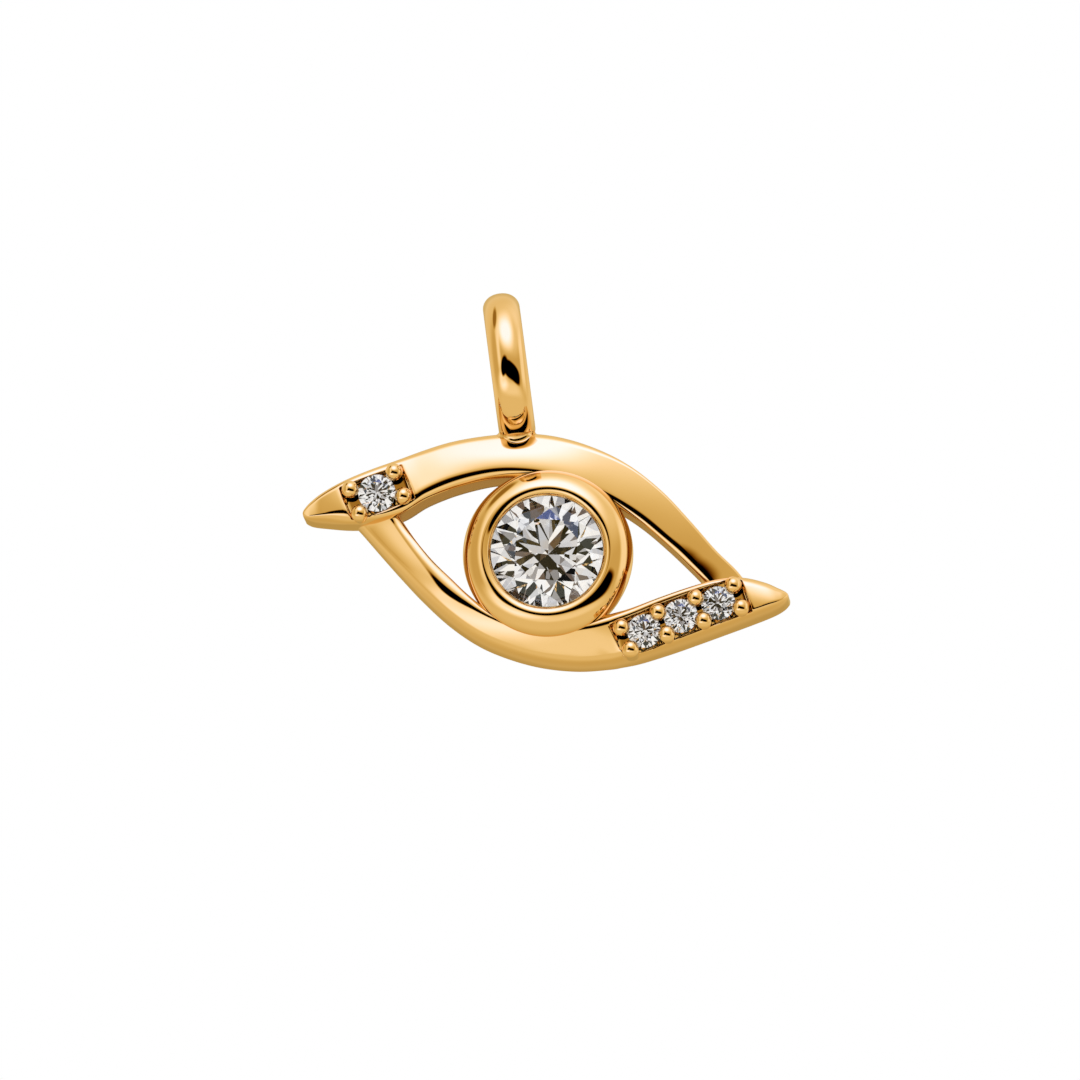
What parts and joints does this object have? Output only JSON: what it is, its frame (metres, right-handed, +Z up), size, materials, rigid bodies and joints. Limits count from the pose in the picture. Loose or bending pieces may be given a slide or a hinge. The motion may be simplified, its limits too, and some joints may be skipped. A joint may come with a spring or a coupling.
{
  "type": "eye charm",
  "caption": "Open almond-shaped eye charm in polished yellow gold, with a bezel-set round brilliant as its iris, small bead-set brilliants at both corners and a soldered ring bail on top.",
  "frame": {"origin": "the point inside the top of the bail's hole that the charm hangs from", "axes": "+Z up along the bail, the face of the eye looks towards -Y, +X to the right of someone looking at the face; the bail's hole runs along X"},
  "size_m": [0.0178, 0.0058, 0.0147],
  "materials": {
    "gold": "high polish",
    "centre_stone": "polished facets",
    "accent_stone": "polished facets"
  },
  "bodies": {
    "root": {"eye_frame": "gold", "centre_stone": "centre_stone", "left_accent_stone": "accent_stone", "right_accent_stone_1": "accent_stone", "right_accent_stone_2": "accent_stone", "right_accent_stone_3": "accent_stone"}
  },
  "joints": []
}
